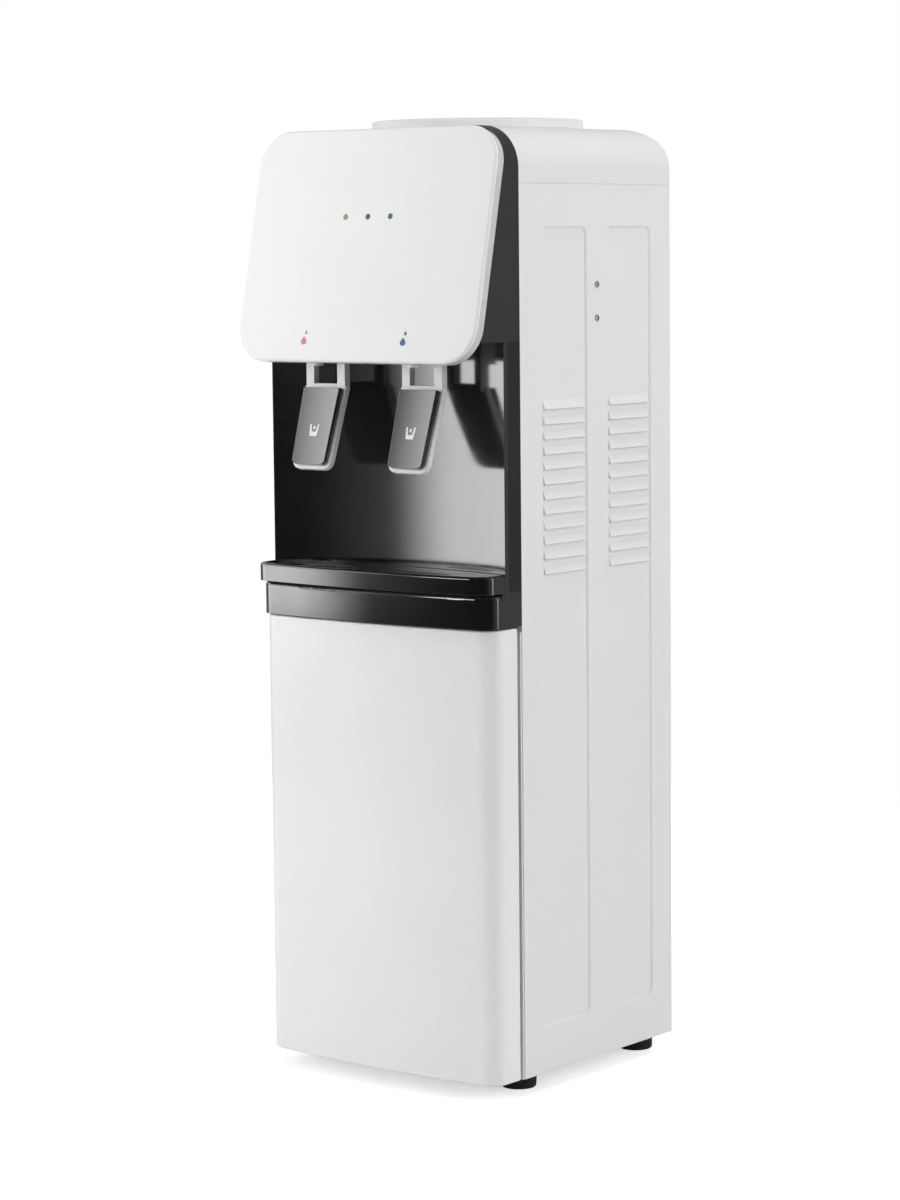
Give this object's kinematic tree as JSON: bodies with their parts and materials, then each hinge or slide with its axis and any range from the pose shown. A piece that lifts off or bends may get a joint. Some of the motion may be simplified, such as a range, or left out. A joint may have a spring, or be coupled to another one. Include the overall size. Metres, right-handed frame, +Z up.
{
  "type": "bottle water cooler",
  "caption": "Upright floor-standing water cooler with a bottle seat on top, hot and cold lever taps in a gloss niche, a lift-out drip tray and a hinged storage door.",
  "frame": {"origin": "on the floor, in the middle of the footprint", "axes": "+Z up, -Y towards the front with the taps and the door, +X to the right seen from the front"},
  "size_m": [0.308, 0.337, 0.982],
  "materials": {
    "white_gloss": "smooth gloss",
    "white_satin": "fine satin",
    "bezel_grey": "smooth gloss",
    "white_paint": "powder coat",
    "black_satin": "fine texture",
    "black_gloss": "mirror gloss",
    "lever_grey": "satin gloss",
    "lamp_lens": "clear tinted",
    "circuit_green": "solder mask",
    "black_rubber": "moulded",
    "hose_silicone": "smooth",
    "steel": "brushed",
    "aluminium": "extruded",
    "foam": "moulded bead foam",
    "module_ceramic": "bare",
    "black_plastic": "plain",
    "box_grey": "plain",
    "rocker_red": "smooth gloss",
    "rocker_green": "smooth gloss"
  },
  "bodies": {
    "cooler_body": {"fascia_panel": "white_gloss", "top_cover": "white_satin", "cabinet_liner": "white_satin", "fascia_bezel": "bezel_grey", "side_panel_left": "white_paint", "side_panel_right": "white_paint", "rear_panel": "white_paint", "base_pan": "white_paint", "head_shell": "black_satin", "front_frame": "black_satin", "tray_housing": "black_satin", "niche_panel": "black_gloss", "tap_body_hot": "lever_grey", "tap_body_cold": "lever_grey", "led_lenses": "lamp_lens", "led_board": "circuit_green", "feet": "black_rubber", "cord_gland": "black_rubber", "hot_hose": "hose_silicone", "cold_hose": "hose_silicone", "cold_tank": "steel", "hot_tank": "steel", "feed_pipe": "steel", "drain_pipe": "steel", "tap_pin_hot": "steel", "tap_pin_cold": "steel", "hinge_bracket": "steel", "hinge_pin": "steel", "mid_deck": "steel", "tank_shelf": "steel", "side_screws": "steel", "rear_screws": "steel", "cold_block": "aluminium", "heat_sink": "aluminium", "heater_band": "aluminium", "cold_insulation": "foam", "peltier_module": "module_ceramic", "fan_frame": "black_plastic", "switch_body_hot": "black_plastic", "switch_body_cold": "black_plastic", "catch_magnet": "black_plastic", "control_box": "box_grey"},
    "door": {"door_shell": "white_gloss", "door_liner": "white_satin", "door_strike": "steel"},
    "drip_tray": {"drip_tray": "black_gloss"},
    "drip_grille": {"drip_grille": "black_satin"},
    "bottle_seat": {"bottle_seat": "white_satin", "feed_spike": "white_satin"},
    "lever_hot": {"tap_lever_hot": "lever_grey", "tap_pad_hot": "black_gloss"},
    "lever_cold": {"tap_lever_cold": "lever_grey", "tap_pad_cold": "black_gloss"},
    "stem_hot": {"tap_stem_hot": "steel"},
    "stem_cold": {"tap_stem_cold": "steel"},
    "rocker_hot": {"rocker_hot": "rocker_red"},
    "rocker_cold": {"rocker_cold": "rocker_green"},
    "drain_cap": {"drain_cap": "black_plastic"},
    "fan_rotor": {"fan_rotor": "black_plastic"}
  },
  "joints": [
    {"name": "door_hinge", "type": "hinge", "parent": "cooler_body", "child": "door", "pos_m": [-0.14, -0.1085, 0.2475], "axis": [0, 0, -1], "range_deg": [0, 110]},
    {"name": "tray_lift", "type": "slide", "parent": "cooler_body", "child": "drip_tray", "axis": [0, 0, 1], "range_m": [0, 0.05]},
    {"name": "grille_lift", "type": "slide", "parent": "drip_tray", "child": "drip_grille", "axis": [0, 0, 1], "range_m": [0, 0.03]},
    {"name": "seat_lift", "type": "slide", "parent": "cooler_body", "child": "bottle_seat", "axis": [0, 0, 1], "range_m": [0, 0.1]},
    {"name": "lever_hot_pivot", "type": "hinge", "parent": "cooler_body", "child": "lever_hot", "pos_m": [-0.063, -0.1295, 0.768], "axis": [1, 0, 0], "range_deg": [0, 12], "stiffness_Nm_per_rad": 0.4, "springref_deg": -5.73},
    {"name": "stem_hot_slide", "type": "slide", "parent": "cooler_body", "child": "stem_hot", "axis": [0, -1, 0], "range_m": [0, 0.0045]},
    {"name": "lever_cold_pivot", "type": "hinge", "parent": "cooler_body", "child": "lever_cold", "pos_m": [0.063, -0.1295, 0.768], "axis": [1, 0, 0], "range_deg": [0, 12], "stiffness_Nm_per_rad": 0.4, "springref_deg": -5.73},
    {"name": "stem_cold_slide", "type": "slide", "parent": "cooler_body", "child": "stem_cold", "axis": [0, -1, 0], "range_m": [0, 0.0045]},
    {"name": "rocker_hot_pivot", "type": "hinge", "parent": "cooler_body", "child": "rocker_hot", "pos_m": [0.07, 0.162, 0.8], "axis": [1, 0, 0], "range_deg": [-18, 0]},
    {"name": "rocker_cold_pivot", "type": "hinge", "parent": "cooler_body", "child": "rocker_cold", "pos_m": [0.104, 0.162, 0.8], "axis": [1, 0, 0], "range_deg": [-18, 0]},
    {"name": "drain_cap_pull", "type": "slide", "parent": "cooler_body", "child": "drain_cap", "axis": [0, 1, 0], "range_m": [0, 0.02]},
    {"name": "fan_spin", "type": "hinge", "parent": "cooler_body", "child": "fan_rotor", "pos_m": [0, 0.1479, 0.655], "axis": [0, 1, 0], "continuous": true}
  ],
  "couplings": [
    {"joint": "stem_hot_slide", "follows": "lever_hot_pivot", "m_per_rad": 0.021},
    {"joint": "stem_cold_slide", "follows": "lever_cold_pivot", "m_per_rad": 0.021}
  ]
}
